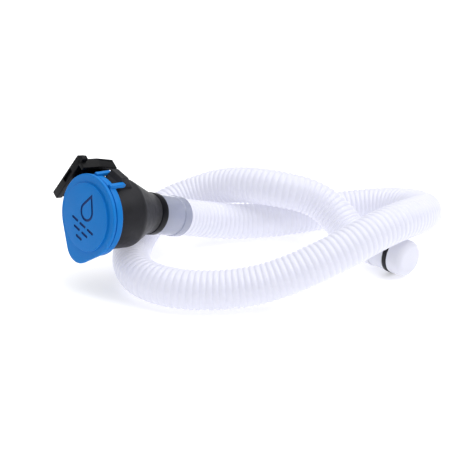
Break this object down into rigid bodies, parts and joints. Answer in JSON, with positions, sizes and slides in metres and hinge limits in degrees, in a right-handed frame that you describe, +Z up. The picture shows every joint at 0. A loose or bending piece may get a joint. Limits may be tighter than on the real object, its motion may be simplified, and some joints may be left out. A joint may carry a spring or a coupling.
{
  "type": "capped hose kit",
  "caption": "Flexible corrugated waste hose with a hinged-cap filler neck and side bracket at one end and a capped outlet at the other.",
  "frame": {"origin": "centre of the kit's footprint, on the surface it lies on", "axes": "+Z up; +X along the longest side of the coiled kit, from the capped neck towards the outlet; +Y away from the cap's face"},
  "size_m": [0.2918, 0.1741, 0.0959],
  "materials": {
    "cap_blue": "satin moulded",
    "neck_black": "fine matt moulded",
    "bracket_black": "satin moulded",
    "pin_steel": "drawn wire",
    "coupler_grey": "smooth, slightly translucent",
    "hose_white": "ribbed, translucent",
    "outlet_white": "smooth moulded",
    "end_cap_white": "smooth moulded",
    "seal_rubber": "matt"
  },
  "bodies": {
    "kit": {"filler_neck": "neck_black", "mounting_bracket": "bracket_black", "hose_coupler": "coupler_grey", "coupler_o_ring": "seal_rubber", "hose": "hose_white", "outlet_spigot": "outlet_white", "outlet_seal": "seal_rubber"},
    "lid": {"cap_lid": "cap_blue", "cap_gasket": "seal_rubber", "hinge_pin": "pin_steel"},
    "outlet_cap": {"end_cap": "end_cap_white"}
  },
  "joints": [
    {"name": "cap_hinge", "type": "hinge", "parent": "kit", "child": "lid", "pos_m": [-0.09603, -0.03836, 0.08395], "axis": [-0.6323, 0.7322, 0.2532], "range_deg": [0, 110]},
    {"name": "end_cap_pull", "type": "slide", "parent": "kit", "child": "outlet_cap", "axis": [0.6951, -0.7189, 0], "range_m": [0, 0.012]}
  ]
}
